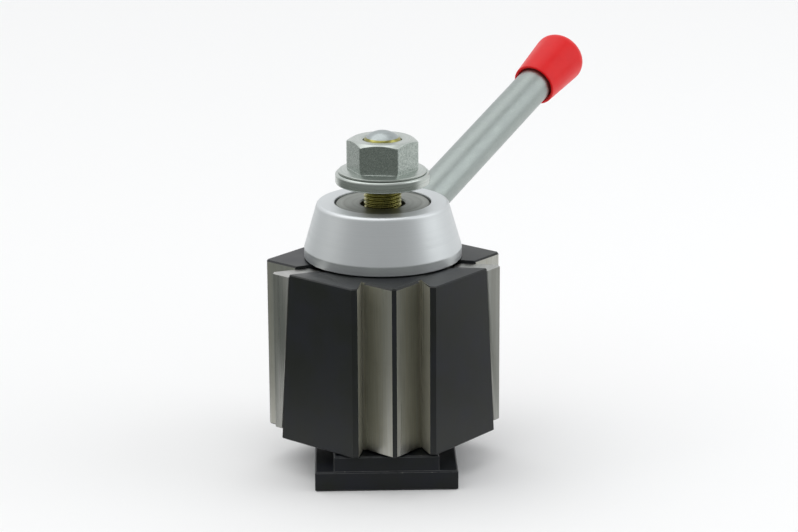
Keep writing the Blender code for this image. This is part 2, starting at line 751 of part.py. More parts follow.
def make_snap_ring(parent, material):
    """Split retaining ring in the groove of the hub's neck, under the lift ring."""
    top = RING_BASE - GAP
    inner = HUB_NECK_R - SNAP_GROOVE + GAP
    outer_arc = arc((0.0, 0.0), SNAP_R, SNAP_SPLIT, 2.0 * math.pi - SNAP_SPLIT, 40)
    inner_arc = arc((0.0, 0.0), inner, 2.0 * math.pi - SNAP_SPLIT, SNAP_SPLIT, 40)
    ring = lofted([(outer_arc + inner_arc, top - SNAP_THICK), (outer_arc + inner_arc, top)])
    return add_object("snap_ring", ring, parent, material)


def torus(centre, radius, level):
    """Round-section ring about Z."""
    section = arc((centre, level), radius, 0.0, 2.0 * math.pi, 8)[:-1]
    return turned(section, ROUND)


def make_chip_seal(parent, material):
    """O-ring in the hub's bore that keeps chips out of the thread."""
    return add_object("chip_seal", torus(SEAL_CENTRE, SEAL_R, SEAL_LEVEL), parent, material)


def make_handle_rod(parent, material):
    """Straight round rod with a thinner threaded end in the hub."""
    edge = ROD_CHAMFER
    outline = [
        (0.0, ROD_STUB_START),
        (ROD_STUB_R - edge, ROD_STUB_START),
        (ROD_STUB_R, ROD_STUB_START + edge),
        (ROD_STUB_R, ROD_START),
        (ROD_R, ROD_START),
        (ROD_R, ROD_END - edge),
        (ROD_R - edge, ROD_END),
        (0.0, ROD_END),
    ]
    return add_object("handle_rod", moved(turned(outline, ROUND), handle_matrix()), parent, material)


def make_handle_grip(parent, material):
    """Push-on grip: flares towards its rounded end, open at the mouth."""
    end = GRIP_START + GRIP_LENGTH
    hole = ROD_R + GAP
    slope = math.atan2(GRIP_MOUTH_R - GRIP_END_R, GRIP_LENGTH)
    rounded = arc((GRIP_END_R - GRIP_ROUND, end - GRIP_ROUND), GRIP_ROUND, slope, math.pi / 2.0, 8)
    outline = [
        (hole, GRIP_START + GRIP_MOUTH_FUNNEL),
        (GRIP_MOUTH_R - GRIP_MOUTH_RIM, GRIP_START),
        (GRIP_MOUTH_R, GRIP_START + GRIP_MOUTH_RIM),
    ] + rounded + [
        (0.0, end),
        (0.0, ROD_END + GAP),
        (hole, ROD_END + GAP),
    ]
    return add_object("handle_grip", moved(turned(outline, ROUND), handle_matrix()), parent, material)


# ---------------------------------------------------------------- clamp nut and washer

def make_clamp_washer(parent, material):
    """Thick captive washer; a recess in its underside takes the clip."""
    edge = WASHER_CHAMFER
    top = WASHER_BASE + WASHER_THICK
    outline = [
        (WASHER_BORE_R, WASHER_BASE + CLIP_SEAT),
        (WASHER_BORE_R + CLIP_RECESS, WASHER_BASE + CLIP_SEAT),
        (WASHER_BORE_R + CLIP_RECESS, WASHER_BASE),
        (WASHER_R - edge, WASHER_BASE),
        (WASHER_R, WASHER_BASE + edge),
        (WASHER_R, top - edge),
        (WASHER_R - edge, top),
        (WASHER_BORE_R, top),
    ]
    return add_object("clamp_washer", turned(outline, ROUND_FINE), parent, material)


def make_clamp_nut(parent, material):
    """Hexagon nut with a conical flange, and a spigot that passes through the washer."""
    corner = NUT_FLATS / math.sqrt(3.0)
    bore = STUD_R + GAP
    angles = [math.radians(60.0 * i + 30.0) for i in range(6)]
    hexagon = [(corner * math.cos(a), corner * math.sin(a)) for a in angles]
    prism = lofted([(hexagon, NUT_BASE + NUT_FLANGE_RIM), (hexagon, NUT_TOP)])
    piece = add_object("clamp_nut", prism, parent, material)
    piece.rotation_euler.z = NUT_TURN
    dome = turned([
        (0.0, NUT_BASE - PAST),
        (corner + PAST, NUT_BASE - PAST),
        (corner + PAST, NUT_TOP - NUT_CROWN_DROP),
        (NUT_CROWN_R, NUT_TOP),
        (0.0, NUT_TOP),
    ], ROUND_FINE)
    boolean(piece, "INTERSECT", dome)
    flange = turned([
        (0.0, NUT_BASE),
        (NUT_FLANGE_R, NUT_BASE),
        (NUT_FLANGE_R, NUT_BASE + NUT_FLANGE_RIM),
        (NUT_CONE_R, NUT_BASE + NUT_CONE_RISE),
        (0.0, NUT_BASE + NUT_CONE_RISE),
    ], ROUND_FINE)
    boolean(piece, "UNION", flange)
    groove_top = WASHER_BASE + CLIP_SEAT
    groove_base = groove_top - 2.0 * CLIP_R - 2.0 * GAP
    groove_depth = NUT_SPIGOT_R - CLIP_CENTRE + CLIP_R + GAP
    spigot = turned([
        (0.0, WASHER_BASE + NUT_SPIGOT_INSET),
        (NUT_SPIGOT_R, WASHER_BASE + NUT_SPIGOT_INSET),
        (NUT_SPIGOT_R, groove_base),
        (NUT_SPIGOT_R - groove_depth, groove_base),
        (NUT_SPIGOT_R - groove_depth, groove_top),
        (NUT_SPIGOT_R, groove_top),
        (NUT_SPIGOT_R, NUT_BASE + NUT_FLANGE_RIM),
        (0.0, NUT_BASE + NUT_FLANGE_RIM),
    ], ROUND)
    boolean(piece, "UNION", spigot)
    bored = turned([
        (0.0, WASHER_BASE - PAST),
        (bore, WASHER_BASE - PAST),
        (bore, NUT_TOP - NUT_BORE_CHAMFER),
        (bore + NUT_BORE_CHAMFER + PAST, NUT_TOP + PAST),
        (0.0, NUT_TOP + PAST),
    ], ROUND)
    boolean(piece, "DIFFERENCE", bored)
    return piece


def make_washer_clip(parent, material):
    """Wire ring on the nut's spigot that keeps the washer on the nut."""
    level = WASHER_BASE + CLIP_SEAT - CLIP_R - GAP
    return add_object("washer_clip", torus(CLIP_CENTRE, CLIP_R, level), parent, material)


# ---------------------------------------------------------------- the whole post

def main():
    clear_scene()
    black = finish_material("black_oxide", (0.025, 0.028, 0.03), 0.42, 0.6)
    ground = finish_material("ground_steel", (0.45, 0.46, 0.44), 0.35, 1.0)
    turned_steel = finish_material("turned_steel", (0.4, 0.41, 0.4), 0.4, 1.0)
    satin = finish_material("satin_hub", (0.62, 0.65, 0.67), 0.45, 1.0)
    zinc = finish_material("bright_zinc", (0.62, 0.67, 0.64), 0.3, 1.0)
    yellow_zinc = finish_material("yellow_zinc", (0.3, 0.26, 0.05), 0.35, 1.0)
    rod_zinc = finish_material("rod_zinc", (0.55, 0.6, 0.58), 0.38, 1.0)
    red = finish_material("red_grip", (0.68, 0.03, 0.035), 0.35, 0.0)
    rubber = finish_material("seal_rubber", (0.02, 0.02, 0.02), 0.8, 0.0)

    base = joint_frame("base_frame")
    make_tnut(base, black)
    make_stud(base, yellow_zinc)
    make_stud_lock_pin(base, turned_steel)

    post = joint_frame("post_frame")
    make_post_block(post, black)
    make_column(post, turned_steel)
    make_column_screws(post, black)
    make_column_dowels(post, turned_steel)
    make_ring_guide_pins(post, turned_steel)

    lift = joint_frame("lift_frame")
    make_lift_ring(lift, turned_steel)

    hub = joint_frame("hub_frame")
    make_hub(hub, satin)
    make_turn_stop_pin(hub, turned_steel)
    make_snap_ring(hub, turned_steel)
    make_chip_seal(hub, rubber)
    make_handle_rod(hub, rod_zinc)
    make_handle_grip(hub, red)

    make_gib("gib_left", on_left_face, joint_frame("gib_left_frame"), ground)
    make_gib("gib_right", on_right_face, joint_frame("gib_right_frame"), ground)

    make_clamp_washer(joint_frame("washer_frame"), zinc)
    nut = joint_frame("nut_frame")
    make_clamp_nut(nut, zinc)
    make_washer_clip(nut, turned_steel)


main()
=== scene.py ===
"""Finishes and fine surfaces of a wedge type quick change tool post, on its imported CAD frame.

The round pieces are turned afresh with numpy from their profiles, the stud gets its thread,
and the nut its hexagon and crown. The block, the gibs and the T-nut keep their CAD shapes and
get broken edges, with ground seats and blacked faces told apart by where they look. The
column, the screws, the pins, the rings and the seal are the CAD nodes themselves, in finishes
of their own. All lengths are in metres.
"""

import math

import bmesh
import bpy
import numpy as np
from mathutils import Matrix, Vector


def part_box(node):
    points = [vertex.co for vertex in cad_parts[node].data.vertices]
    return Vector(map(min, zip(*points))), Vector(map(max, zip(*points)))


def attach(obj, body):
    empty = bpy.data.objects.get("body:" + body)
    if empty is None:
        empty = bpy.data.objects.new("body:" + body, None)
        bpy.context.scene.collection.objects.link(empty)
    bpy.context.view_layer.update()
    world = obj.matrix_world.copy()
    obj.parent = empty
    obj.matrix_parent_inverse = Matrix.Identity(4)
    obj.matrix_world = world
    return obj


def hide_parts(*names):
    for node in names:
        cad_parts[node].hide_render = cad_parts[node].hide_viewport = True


MM = 0.001
INCH = 25.4 * MM
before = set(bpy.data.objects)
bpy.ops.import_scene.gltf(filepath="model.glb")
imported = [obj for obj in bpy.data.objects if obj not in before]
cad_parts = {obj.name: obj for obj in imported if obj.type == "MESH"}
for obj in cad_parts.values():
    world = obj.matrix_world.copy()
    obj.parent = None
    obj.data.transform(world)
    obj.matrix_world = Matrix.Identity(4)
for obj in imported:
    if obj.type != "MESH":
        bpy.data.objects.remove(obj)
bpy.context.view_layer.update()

# ---------------------------------------------------------------- measures of the pieces

BLOCK_LOW, BLOCK_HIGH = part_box("post_block")
BLOCK_BASE = BLOCK_LOW.z
BLOCK_TOP = BLOCK_HIGH.z
BLOCK_HALF = BLOCK_HIGH.y
BLOCK_MIDDLE = (BLOCK_BASE + BLOCK_TOP) / 2
SIDE_REACH = 34.0 * MM       # side faces have their middles this near the block's middle
SEAT_DEPTH = 0.7 * MM        # seats and reliefs lie this near the block's sides
RELIEF_DEPTH = 0.3 * MM      # reliefs lie deeper than this, and flanks further out
FLANK_REACH = 12.0 * MM      # fixed flanks lie this far out, or further

HUB_BASE = BLOCK_TOP + 0.4 * MM
HUB_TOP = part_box("hub")[1].z
HUB_NECK_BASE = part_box("hub")[0].z
HUB_R = 29.8 * MM
HUB_TOP_R = 25.2 * MM
HUB_BAND = 3.7 * MM
HUB_BORE_R = 18.24 * MM
HUB_NECK_R = 21.0 * MM
HUB_SHOULDER_R = 22.0 * MM

STUD_R = 9 / 32 * INCH
STUD_BASE, STUD_TOP = (corner.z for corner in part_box("stud"))
THREAD_PITCH = INCH / 18
THREAD_START = 84.0 * MM
THREAD_END = STUD_TOP - 3.8 * MM
DOME_R = 9.0 * MM
DOME_START = math.radians(42.0)
SILVER_END = STUD_TOP - 2.6 * MM

HANDLE_TURN = math.radians(97.1)
HANDLE_RISE = math.radians(19.6)
HANDLE_LEVEL = BLOCK_BASE + 68.7 * MM
ROD_R = 7.2 * MM
ROD_STUB_R = 5.0 * MM
ROD_STUB_START = 21.6 * MM
ROD_START = 27.5 * MM
GRIP_START = 121.5 * MM
GRIP_END = 148.45 * MM
GRIP_MOUTH_R = 8.85 * MM
GRIP_END_R = 10.62 * MM
ROD_END = 143.5 * MM

WASHER_BASE, WASHER_TOP = (corner.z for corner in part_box("clamp_washer"))
WASHER_R = 17.8 * MM
WASHER_BORE_R = 10.6 * MM
CLIP_SEAT = 2.6 * MM
NUT_BASE = WASHER_TOP + 0.3 * MM
NUT_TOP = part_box("clamp_nut")[1].z
NUT_FLATS = 15 / 16 * INCH
NUT_TURN = math.radians(-56.9)
NUT_FLANGE_R = 16.6 * MM
NUT_CONE_R = 13.4 * MM
NUT_SPIGOT_R = 10.2 * MM

BLOCK_BREAK = 0.16 * MM
GROUND_BREAK = 0.18 * MM
GIB_BREAK = 0.14 * MM
RIM_EASE = 0.3 * MM
CORNER = 28.0                # degrees at which two flat faces meet in an edge
ROUND_COLUMNS = 192
HANDLE_COLUMNS = 128

# The block's finishes, by slot
SIDE_SLOT, SEAT_SLOT, TOP_SLOT, WORN_SLOT, BRIGHT_SLOT, FLANK_SLOT = range(6)


# ---------------------------------------------------------------- surfaces

def put_mesh(name, points, closed):
    """Mesh of a grid of points.

    Row i, column j of the grid is joined to the next row and the next column. Columns always
    wrap round the axis; rows wrap only on a closed profile. Rows that shrink to one point on
    the axis are merged into a pole.
    """
    weld = 0.0001 * MM
    rows, columns = points.shape[:2]
    index = np.arange(rows * columns).reshape(rows, columns)
    beside = np.roll(index, -1, axis=1)
    far, far_beside = np.roll(index, -1, axis=0), np.roll(beside, -1, axis=0)
    joined = rows if closed else rows - 1
    corners = [corner[:joined] for corner in (index, beside, far_beside, far)]
    quads = np.stack(corners, axis=-1).reshape(-1, 4)
    mesh = bpy.data.meshes.new(name)
    mesh.from_pydata(points.reshape(-1, 3).tolist(), [], quads.tolist())
    bm = bmesh.new()
    bm.from_mesh(mesh)
    bmesh.ops.remove_doubles(bm, verts=bm.verts, dist=weld)
    bmesh.ops.recalc_face_normals(bm, faces=bm.faces)
    bm.to_mesh(mesh)
    bm.free()
    return mesh


def eased(profile, ease, closed):
    """Profile with its corners rounded.

    Each corner P between neighbours is replaced by the quadratic curve
    (1-t)^2 A + 2t(1-t) P + t^2 C, where A and C lie `ease` along the two sides, or 40 % of a
    side that is shorter than that. A point just before A and just after C keeps the long
    sides flat up to the curve. The profile is (points, columns, 2): radius and height.
    """
    share, hold, steps, tiny = 0.4, 0.2, 4, 1e-9
    back = np.roll(profile, 1, axis=0) - profile
    ahead = np.roll(profile, -1, axis=0) - profile
    back_length = np.maximum(np.linalg.norm(back, axis=-1, keepdims=True), tiny)
    ahead_length = np.maximum(np.linalg.norm(ahead, axis=-1, keepdims=True), tiny)
    back_step = back / back_length * np.minimum(ease, share * back_length)
    ahead_step = ahead / ahead_length * np.minimum(ease, share * ahead_length)
    start, end = (profile + back_step)[:, None], (profile + ahead_step)[:, None]
    t = np.linspace(0.0, 1.0, steps)[None, :, None, None]
    curve = (1 - t) ** 2 * start + 2 * t * (1 - t) * profile[:, None] + t ** 2 * end
    before = start + hold * back_step[:, None]
    after = end + hold * ahead_step[:, None]
    curve = np.concatenate([before, curve, after], axis=1)
    if closed:
        return curve.reshape(-1, *profile.shape[1:])
    inner = curve[1:-1].reshape(-1, *profile.shape[1:])
    return np.concatenate([profile[:1], inner, profile[-1:]])


def round_about(profile, columns=ROUND_COLUMNS):
    """Surface of a profile carried round Z: x = radius cos a, y = radius sin a, z = height."""
    angles = np.linspace(0.0, 2.0 * math.pi, columns, endpoint=False)
    radius, height = np.broadcast_to(profile, (len(profile), columns, 2)).transpose(2, 0, 1)
    return np.stack([radius * np.cos(angles), radius * np.sin(angles), height], axis=-1)


def placed(points, matrix):
    """Points moved by a matrix: p' = R p + t."""
    move = np.array(matrix)
    return points @ move[:3, :3].T + move[:3, 3]


def flat_profile(points):
    """List of (radius, height) pairs as a profile that is the same all the way round."""
    return np.array(points, float)[:, None, :]


def bow(centre, radius, start, end, steps):
    """Points of an arc of a circle: centre + radius (cos a, sin a), a from start to end."""
    a = np.linspace(start, end, steps)
    return list(zip(centre[0] + radius * np.cos(a), centre[1] + radius * np.sin(a)))


def handle_matrix():
    """Puts a piece built along Z onto the handle's axis, which crosses the stud's axis."""
    lean = Matrix.Rotation(math.pi / 2.0 - HANDLE_RISE, 4, "Y")
    swing = Matrix.Rotation(HANDLE_TURN, 4, "Z")
    return Matrix.Translation((0.0, 0.0, HANDLE_LEVEL)) @ swing @ lean


def add_piece(name, mesh, body, node, finishes, sharp=38.0):
    """Object for a finished mesh, on its body, in place of its CAD node.

    Edges that turn by more than `sharp` degrees stay crisp.
    """
    for finish in finishes:
        mesh.materials.append(finish)
    mesh.shade_smooth()
    mesh.set_sharp_from_angle(angle=math.radians(sharp))
    piece = bpy.data.objects.new(name, mesh)
    bpy.context.scene.collection.objects.link(piece)
    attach(piece, body)
    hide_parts(node)
    return piece


def cut(mesh, cutter_mesh):
    """Mesh less a cutter, worked out once so that no guide object stays behind."""
    target = bpy.data.objects.new("cut_target", mesh)
    cutter = bpy.data.objects.new("cutter", cutter_mesh)
    for thing in (target, cutter):
        bpy.context.scene.collection.objects.link(thing)
    step = target.modifiers.new("cut", "BOOLEAN")
    step.operation = "DIFFERENCE"
    step.solver = "EXACT"
    step.object = cutter
    bpy.context.view_layer.update()
    shaped = target.evaluated_get(bpy.context.evaluated_depsgraph_get())
    result = bpy.data.meshes.new_from_object(shaped)
    result.name = mesh.name
    bpy.data.objects.remove(target)
    bpy.data.objects.remove(cutter)
    return result


# ---------------------------------------------------------------- finishes

def add_node(tree, kind, inputs=None, **settings):
    """New node with its settings; an input is a value or another node's output."""
    made = tree.nodes.new(kind)
    for key, value in settings.items():
        setattr(made, key, value)
    for key, value in (inputs or {}).items():
        if isinstance(value, bpy.types.NodeSocket):
            tree.links.new(value, made.inputs[key])
        else:
            made.inputs[key].default_value = value
    return made


class Finish:
    """One procedural finish: a Principled shader with the nodes that shape it.

    Patterns lie in Object coordinates. Their scales are in cells to the metre.
    """

    def __init__(self, name, colour, metallic, roughness):
        self.material = bpy.data.materials.new(name)
        self.material.use_nodes = True
        self.tree = self.material.node_tree
        self.shader = self.tree.nodes["Principled BSDF"]
        self.colour = colour
        self.shader.inputs["Base Color"].default_value = (*colour, 1.0)
        self.shader.inputs["Metallic"].default_value = metallic
        self.shader.inputs["Roughness"].default_value = roughness
        self.height = None

    def node(self, kind, inputs=None, **settings):
        """New node of this finish."""
        return add_node(self.tree, kind, inputs, **settings)

    def place(self, scale=(1.0, 1.0, 1.0), turn=(0.0, 0.0, 0.0)):
        """Object coordinates, turned about the origin, then stretched."""
        source = self.node("ShaderNodeTexCoord").outputs["Object"]
        turned = self.node("ShaderNodeMapping", {"Vector": source, "Rotation": turn})
        return self.node("ShaderNodeMapping", {
            "Vector": turned.outputs[0], "Scale": scale,
        }).outputs[0]

    def noise(self, vector, scale, detail=3.0, roughness=0.5):
        """Cloudy pattern from 0 to 1 with about `scale` cells to the metre."""
        return self.node("ShaderNodeTexNoise", {
            "Vector": vector, "Scale": scale, "Detail": detail, "Roughness": roughness,
        }).outputs[0]

    def line_noise(self, value, scale, detail=4.0):
        """Pattern from 0 to 1 that changes along one number only."""
        return self.node("ShaderNodeTexNoise", {
            "W": value, "Scale": scale, "Detail": detail, "Roughness": 0.6,
        }, noise_dimensions="1D").outputs[0]

    def ring_distance(self):
        """Distance from Z plus height: constant on each lathe mark, on a face or on a side."""
        flat = self.node("ShaderNodeVectorMath", {0: self.place((1.0, 1.0, 0.0))},
                         operation="LENGTH")
        parts = self.node("ShaderNodeSeparateXYZ", {0: self.place()})
        return self.node("ShaderNodeMath", {
            0: flat.outputs["Value"], 1: parts.outputs[2],
        }, operation="ADD").outputs[0]

    def spread(self, value, low, high, start=0.3, end=0.7):
        """Value taken from start..end to low..high, held at both ends."""
        return self.node("ShaderNodeMapRange", {
            "Value": value, "From Min": start, "From Max": end, "To Min": low, "To Max": high,
        }).outputs[0]

    def tint(self, value, other, high, start, end, low=0.0):
        """Mix in another colour, by low to high as a pattern goes from start to end."""
        factor = self.spread(value, low, high, start, end)
        link = self.shader.inputs["Base Color"].links
        first = link[0].from_socket if link else (*self.colour, 1.0)
        mixed = self.node("ShaderNodeMix", {0: factor, 6: first, 7: (*other, 1.0)},
                          data_type="RGBA")
        self.tree.links.new(mixed.outputs[2], self.shader.inputs["Base Color"])

    def gloss(self, value, low, high):
        """Roughness that follows a pattern."""
        self.tree.links.new(self.spread(value, low, high), self.shader.inputs["Roughness"])

    def bump(self, value, depth, strength):
        """Add a pattern of a real depth in metres to the surface's relief."""
        above = {} if self.height is None else {"Normal": self.height}
        self.height = self.node("ShaderNodeBump", {
            "Height": value, "Distance": depth, "Strength": strength, **above,
        }).outputs[0]
        self.tree.links.new(self.height, self.shader.inputs["Normal"])


def black_oxide(name, sheen, gleam, streaks, turn=0.0):
    """Blacked steel: near black, clouded from green to blue, with fine marks along one way.

    `streaks` stretches the marks along one axis and `turn` turns them about Z. The roughness
    is a little over `sheen`, and `gleam` is the strength of the shine.
    """
    finish = Finish(name, (0.0088, 0.0106, 0.0086), 0.0, sheen)
    finish.shader.inputs["Specular IOR Level"].default_value = gleam
    clouds = finish.noise(finish.place(), 70.0, 4.0, 0.55)
    marks = finish.noise(finish.place(streaks, (0.0, 0.0, turn)), 2600.0, 4.0, 0.6)
    grain = finish.noise(finish.place(), 5200.0, 2.0)
    finish.tint(clouds, (0.009, 0.0105, 0.0145), 1.0, 0.38, 0.66)
    finish.tint(marks, (0.018, 0.019, 0.018), 0.3, 0.52, 0.78)
    finish.gloss(clouds, sheen + 0.02, sheen + 0.1)
    finish.bump(marks, 0.003 * MM, 0.4)
    finish.bump(grain, 0.0015 * MM, 0.3)
    return finish.material


def worn_edge():
    """Edges where the blacking has rubbed thin: dark grey steel with brighter nicks."""
    finish = Finish("worn_edge", (0.06, 0.063, 0.064), 0.6, 0.36)
    rubs = finish.noise(finish.place(), 420.0, 4.0, 0.65)
    finish.tint(rubs, (0.42, 0.41, 0.38), 1.0, 0.62, 0.8)
    finish.tint(rubs, (0.016, 0.018, 0.02), 0.0, 0.3, 0.47, low=1.0)
    finish.gloss(rubs, 0.3, 0.46)
    return finish.material


def ground_steel(name, colour, warm, metallic=1.0):
    """Surface-ground steel: bright, with fine wheel lines up and down and a faint warm cast."""
    finish = Finish(name, colour, metallic, 0.3)
    lines = (1.0, 1.0, 0.012)
    wheel = finish.noise(finish.place(lines), 3400.0, 5.0, 0.62)
    passes = finish.noise(finish.place(lines), 620.0, 3.0, 0.5)
    stain = finish.noise(finish.place(), 95.0, 4.0, 0.6)
    finish.tint(wheel, tuple(0.66 * c for c in colour), 0.75, 0.36, 0.7)
    finish.tint(passes, warm, 0.45, 0.42, 0.68)
    finish.tint(stain, tuple(0.7 * c for c in warm), 0.3, 0.55, 0.8)
    finish.gloss(passes, 0.26, 0.4)
    finish.bump(wheel, 0.02 * MM, 0.7)
    finish.bump(passes, 0.03 * MM, 0.5)
    return finish.material


def lathe_turned(name, colour, shade, rough=(0.3, 0.42), feed=2400.0, depth=0.02 * MM):
    """Turned metal: rings of fine tool marks about the stud's axis over a cloudy base."""
    finish = Finish(name, colour, 1.0, rough[0])
    across = finish.ring_distance()
    rings = finish.line_noise(across, feed)
    bands = finish.line_noise(across, feed * 0.2, 2.0)
    clouds = finish.noise(finish.place(), 150.0, 4.0, 0.6)
    finish.tint(rings, shade, 0.6, 0.36, 0.7)
    finish.tint(clouds, shade, 0.35, 0.45, 0.75)
    finish.gloss(bands, *rough)
    finish.bump(rings, depth, 0.6)
    finish.bump(clouds, 0.01 * MM, 0.4)
    return finish.material


def zinc_plate(name, colour, shade, scale, rough, depth, spots):
    """Bright zinc plate over a slightly coarse surface: pale, mottled, with a soft shine.

    `scale` and `depth` are the grain's, and `spots` says how far it darkens to the shade.
    """
    finish = Finish(name, colour, 1.0, rough[0])
    grain = finish.noise(finish.place(), scale, 4.0, 0.65)
    clouds = finish.noise(finish.place(), 210.0, 3.0, 0.6)
    finish.tint(grain, shade, spots, 0.42, 0.66)
    finish.tint(clouds, tuple(0.8 * c for c in colour), 0.3, 0.45, 0.7)
    finish.gloss(grain, *rough)
    finish.bump(grain, depth, 0.7)
    return finish.material


def drawn_zinc(name, turn):
    """Zinc-plated drawn bar: fine lengthwise lines along the handle and a faint milky bloom."""
    finish = Finish(name, (0.365, 0.405, 0.385), 1.0, 0.36)
    lines = finish.noise(finish.place((1.0, 1.0, 0.02), turn), 2300.0, 4.0, 0.6)
    bloom = finish.noise(finish.place((1.0, 1.0, 0.2), turn), 260.0, 4.0, 0.55)
    finish.tint(lines, (0.28, 0.315, 0.3), 0.5, 0.38, 0.7)
    finish.tint(bloom, (0.4, 0.435, 0.43), 0.35, 0.42, 0.7)
    finish.gloss(bloom, 0.32, 0.46)
    finish.bump(lines, 0.012 * MM, 0.6)
    return finish.material


def yellow_zinc():
    """Yellow-passivated zinc of the stud: gold with olive and brown patches."""
    finish = Finish("yellow_zinc", (0.34, 0.32, 0.1), 1.0, 0.27)
    patches = finish.noise(finish.place(), 380.0, 4.0, 0.6)
    fine = finish.noise(finish.place(), 2600.0, 3.0, 0.5)
    finish.tint(patches, (0.2, 0.2, 0.07), 0.8, 0.36, 0.66)
    finish.tint(fine, (0.42, 0.31, 0.085), 0.35, 0.5, 0.75)
    finish.gloss(patches, 0.2, 0.32)
    finish.bump(fine, 0.004 * MM, 0.4)
    return finish.material


def dipped_vinyl():
    """Red dipped vinyl: even colour with a faint orange-peel skin and soft streaks of sheen."""
    finish = Finish("red_vinyl", (0.74, 0.01, 0.012), 0.0, 0.36)
    finish.shader.inputs["Specular IOR Level"].default_value = 0.22
    finish.shader.inputs["Subsurface Weight"].default_value = 0.08
    finish.shader.inputs["Subsurface Radius"].default_value = (0.004, 0.001, 0.001)
    finish.shader.inputs["Subsurface Scale"].default_value = 0.5
    peel = finish.noise(finish.place(), 1100.0, 2.0, 0.4)
    drift = finish.noise(finish.place(), 130.0, 3.0, 0.5)
    finish.tint(drift, (0.82, 0.02, 0.02), 0.55, 0.4, 0.7)
    finish.gloss(drift, 0.31, 0.42)
    finish.bump(peel, 0.02 * MM, 0.45)
    return finish.material


def plain_rubber():
    """Black rubber of the chip seal, slightly dusty."""
    finish = Finish("seal_rubber", (0.016, 0.016, 0.017), 0.0, 0.7)
    dust = finish.noise(finish.place(), 900.0, 3.0, 0.6)
    finish.tint(dust, (0.05, 0.05, 0.048), 0.5, 0.5, 0.8)
    finish.gloss(dust, 0.6, 0.82)
    return finish.material


# ---------------------------------------------------------------- pieces that keep their CAD shape

def cad_copy(node, name):
    """Merged copy of a CAD node's mesh, with flat faces joined into single faces."""
    weld, flat = 0.002 * MM, math.radians(0.6)
    bm = bmesh.new()
    bm.from_mesh(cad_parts[node].data)
    bmesh.ops.remove_doubles(bm, verts=bm.verts, dist=weld)
    bmesh.ops.dissolve_limit(bm, angle_limit=flat, verts=bm.verts, edges=bm.edges)
    mesh = bpy.data.meshes.new(name)
    bm.to_mesh(mesh)
    bm.free()
    mesh.materials.clear()
    return mesh


def break_edges(piece, width, slot_index):
    """Small live bevel on the sharp edges, in a finish of its own."""
    step = piece.modifiers.new("broken_edges", "BEVEL")
    step.width = width
    step.segments = 2
    step.limit_method = "ANGLE"
    step.angle_limit = math.radians(CORNER)
    step.use_clamp_overlap = True
    step.harden_normals = False
    step.material = slot_index
    return step


def face_data(mesh):
    """Normals and middles of all faces, as arrays."""
    count = len(mesh.polygons)
    normals = np.zeros(count * 3)
    middles = np.zeros(count * 3)
    mesh.polygons.foreach_get("normal", normals)
    mesh.polygons.foreach_get("center", middles)
    return normals.reshape(-1, 3), middles.reshape(-1, 3)


def looks(normals, direction):
    """Faces whose normal is within ten degrees of a direction."""
    return normals @ (np.array(direction) / np.linalg.norm(direction)) > 0.985


def mark_ground_edges(mesh):
    """Bevel weight 1 on the upright outer edges of the ground faces, which are broken in bare
    steel painted paler than the seats as a highlight.
    """
    bm = bmesh.new()
    bm.from_mesh(mesh)
    weight = bm.edges.layers.float.new("bevel_weight_edge")
    for edge in bm.edges:
        ground = any(face.material_index in (SEAT_SLOT, FLANK_SLOT) for face in edge.link_faces)
        sharp = edge.is_convex and edge.calc_face_angle(0.0) > math.radians(CORNER)
        run = edge.verts[1].co - edge.verts[0].co
        upright = abs(run.z) > 0.95 * run.length
        edge[weight] = 1.0 if ground and sharp and upright else 0.0
    bm.to_mesh(mesh)
    bm.free()


def make_block():
    """Post block: black plates and top, ground seats and fixed flanks.

    The left seat looks to -Y and the right one to +X. Each flank leans over its seat at 60
    degrees, and a narrow relief runs along the seat beside it.
    """
    mesh = cad_copy("post_block", "block_body")
    normals, middles = face_data(mesh)
    x, y, z = middles.T
    lean = math.pi / 3
    at_side = abs(z - BLOCK_MIDDLE) < SIDE_REACH
    left_seat = looks(normals, (0, -1, 0)) & (abs(y + BLOCK_HALF) < SEAT_DEPTH)
    right_seat = looks(normals, (1, 0, 0)) & (abs(x - BLOCK_HALF) < SEAT_DEPTH)
    left_flank = looks(normals, (math.sin(lean), math.cos(lean), 0.0)) & (x > FLANK_REACH)
    left_flank &= y < -BLOCK_HALF + RELIEF_DEPTH
    right_flank = looks(normals, (-math.cos(lean), -math.sin(lean), 0.0)) & (y < -FLANK_REACH)
    right_flank &= x > BLOCK_HALF - RELIEF_DEPTH
    relief = left_seat & (y > -BLOCK_HALF + RELIEF_DEPTH)
    relief |= right_seat & (x < BLOCK_HALF - RELIEF_DEPTH)
    kinds = np.full(len(normals), SIDE_SLOT, np.int32)
    kinds[(left_seat | right_seat) & at_side] = SEAT_SLOT
    kinds[(left_flank | right_flank | relief) & at_side] = FLANK_SLOT
    kinds[looks(normals, (0, 0, 1)) & (z > BLOCK_TOP - 0.1 * MM)] = TOP_SLOT
    mesh.polygons.foreach_set("material_index", kinds)
    mark_ground_edges(mesh)
    finishes = [BLACK_SIDES, GROUND, BLACK_TOP, WORN, GROUND_EDGE_GLINT, GROUND_FLANK]
    piece = add_piece("block_body", mesh, "post", "post_block", finishes,
                      sharp=CORNER)
    # The ground faces' upright edges: bare broken steel with a painted highlight
    bright = break_edges(piece, GROUND_BREAK, BRIGHT_SLOT)
    bright.name = "ground_edge_glint"
    bright.limit_method = "WEIGHT"
    bright.segments = 4
    break_edges(piece, BLOCK_BREAK, WORN_SLOT)


def make_tnut():
    """T-nut in heavy blacking."""
    mesh = cad_copy("tnut", "tslot_nut")
    finishes = [BLACK_TNUT, WORN]
    piece = add_piece("tslot_nut", mesh, "base", "tnut", finishes, sharp=CORNER)
    break_edges(piece, BLOCK_BREAK, finishes.index(WORN))


